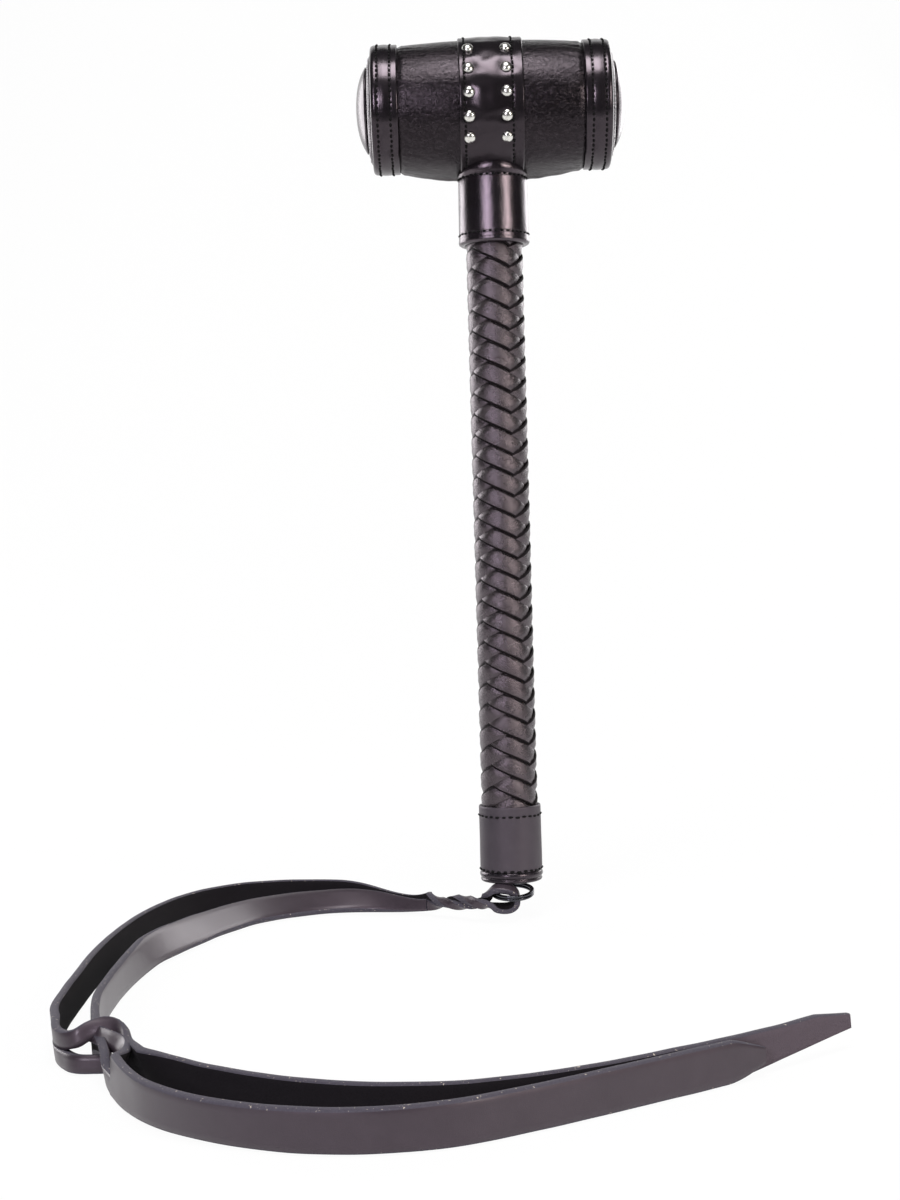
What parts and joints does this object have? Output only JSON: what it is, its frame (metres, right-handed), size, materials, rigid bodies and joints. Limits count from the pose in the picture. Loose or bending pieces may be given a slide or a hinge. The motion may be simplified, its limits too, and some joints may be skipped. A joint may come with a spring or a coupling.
{
  "type": "leather hammer",
  "caption": "Leather-covered hammer with domed padded striking faces, a studded belt round the head, a braided grip, and a knotted wrist strap on a ring at the butt.",
  "frame": {"origin": "middle of the braided grip, on the handle's axis", "axes": "+Z along the handle towards the head, X along the head, -Y towards the side with the pictured studs"},
  "size_m": [0.3086, 0.4426, 0.4469],
  "materials": {
    "smooth_leather": "smooth black leather, semi-gloss",
    "pebbled_leather": "pebbled black leather, semi-gloss",
    "matte_leather": "charcoal leather, matte",
    "braid_leather": "black leather laces, soft sheen",
    "strap_leather": "charcoal leather, worn grain side and black suede flesh side",
    "nickel": "bright nickel plate",
    "black_nickel": "polished black nickel plate",
    "wood_core": "plain turned beech",
    "wool_felt": "pressed wool felt"
  },
  "bodies": {
    "hammer": {"head_core": "wood_core", "head_sleeve": "pebbled_leather", "centre_belt": "smooth_leather", "end_band_right": "smooth_leather", "end_disc_right": "smooth_leather", "face_felt_right": "wool_felt", "face_pad_right": "smooth_leather", "end_band_left": "smooth_leather", "end_disc_left": "smooth_leather", "face_felt_left": "wool_felt", "face_pad_left": "smooth_leather", "stud_front_left_1": "nickel", "stud_front_left_2": "nickel", "stud_front_left_3": "nickel", "stud_front_left_4": "nickel", "stud_front_left_5": "nickel", "stud_front_right_1": "nickel", "stud_front_right_2": "nickel", "stud_front_right_3": "nickel", "stud_front_right_4": "nickel", "stud_front_right_5": "nickel", "stud_back_left_1": "nickel", "stud_back_left_2": "nickel", "stud_back_left_3": "nickel", "stud_back_left_4": "nickel", "stud_back_left_5": "nickel", "stud_back_right_1": "nickel", "stud_back_right_2": "nickel", "stud_back_right_3": "nickel", "stud_back_right_4": "nickel", "stud_back_right_5": "nickel", "handle_core": "wood_core", "tenon_wedge": "wood_core", "braided_cover": "braid_leather", "upper_collar": "smooth_leather", "lower_collar": "matte_leather", "butt_disc": "matte_leather", "screw_eye": "black_nickel", "strap_bight": "strap_leather", "strap_strand_a_back": "strap_leather", "strap_strand_b_back": "strap_leather", "strap_knot": "strap_leather", "strap_strand_a_front": "strap_leather", "strap_strand_b_front": "strap_leather"},
    "ring": {"split_ring": "black_nickel"}
  },
  "joints": [
    {"name": "ring_swing", "type": "hinge", "parent": "hammer", "child": "ring", "pos_m": [0, -0.00057, -0.18332], "axis": [1, 0, 0], "range_deg": [-17, 78], "deforming": ["strap_bight"]}
  ]
}
